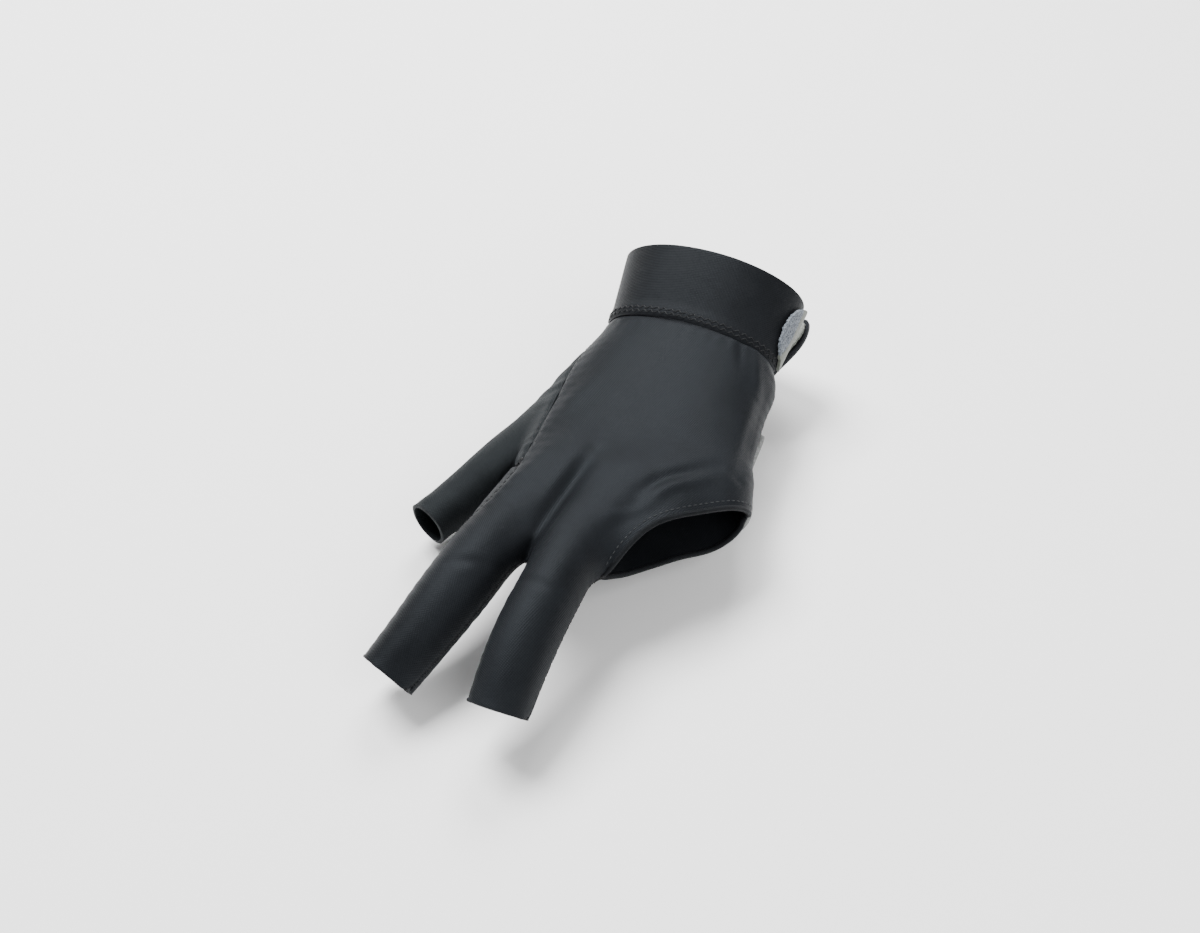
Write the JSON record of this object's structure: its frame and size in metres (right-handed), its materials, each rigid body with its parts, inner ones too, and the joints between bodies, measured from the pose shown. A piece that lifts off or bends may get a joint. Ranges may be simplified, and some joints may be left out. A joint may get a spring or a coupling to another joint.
{
  "type": "billiard glove",
  "caption": "Open billiard glove for the left hand: stretch cloth stalls for thumb, index and middle finger, a bound opening for the others, and a wrist band with hook-and-loop closure.",
  "frame": {"origin": "the middle of the cuff's hollow, where the wrist sits", "axes": "-Y along the fingers, -X towards the thumb, +Z out of the back of the hand"},
  "size_m": [0.1056, 0.1934, 0.0544],
  "materials": {
    "black_stretch_cloth": "stretch knit with a faint sheen",
    "black_thumb_cloth": "stretch knit, slightly greyer",
    "black_band_cloth": "doubled stretch knit band",
    "black_binding_tape": "matt folded tape",
    "blue_grey_loop_cloth": "fuzzy loop pile",
    "olive_grey_hook_tape": "smooth hook tape",
    "grey_pad_cloth": "matt brushed cloth"
  },
  "bodies": {
    "root": {"back_panel": "black_stretch_cloth", "palm_panel": "black_stretch_cloth", "thumb_stall": "black_thumb_cloth", "cuff": "black_band_cloth", "loop_patch": "blue_grey_loop_cloth", "hook_patch": "olive_grey_hook_tape", "palm_pad": "grey_pad_cloth", "hem_binding": "black_binding_tape"}
  },
  "joints": []
}
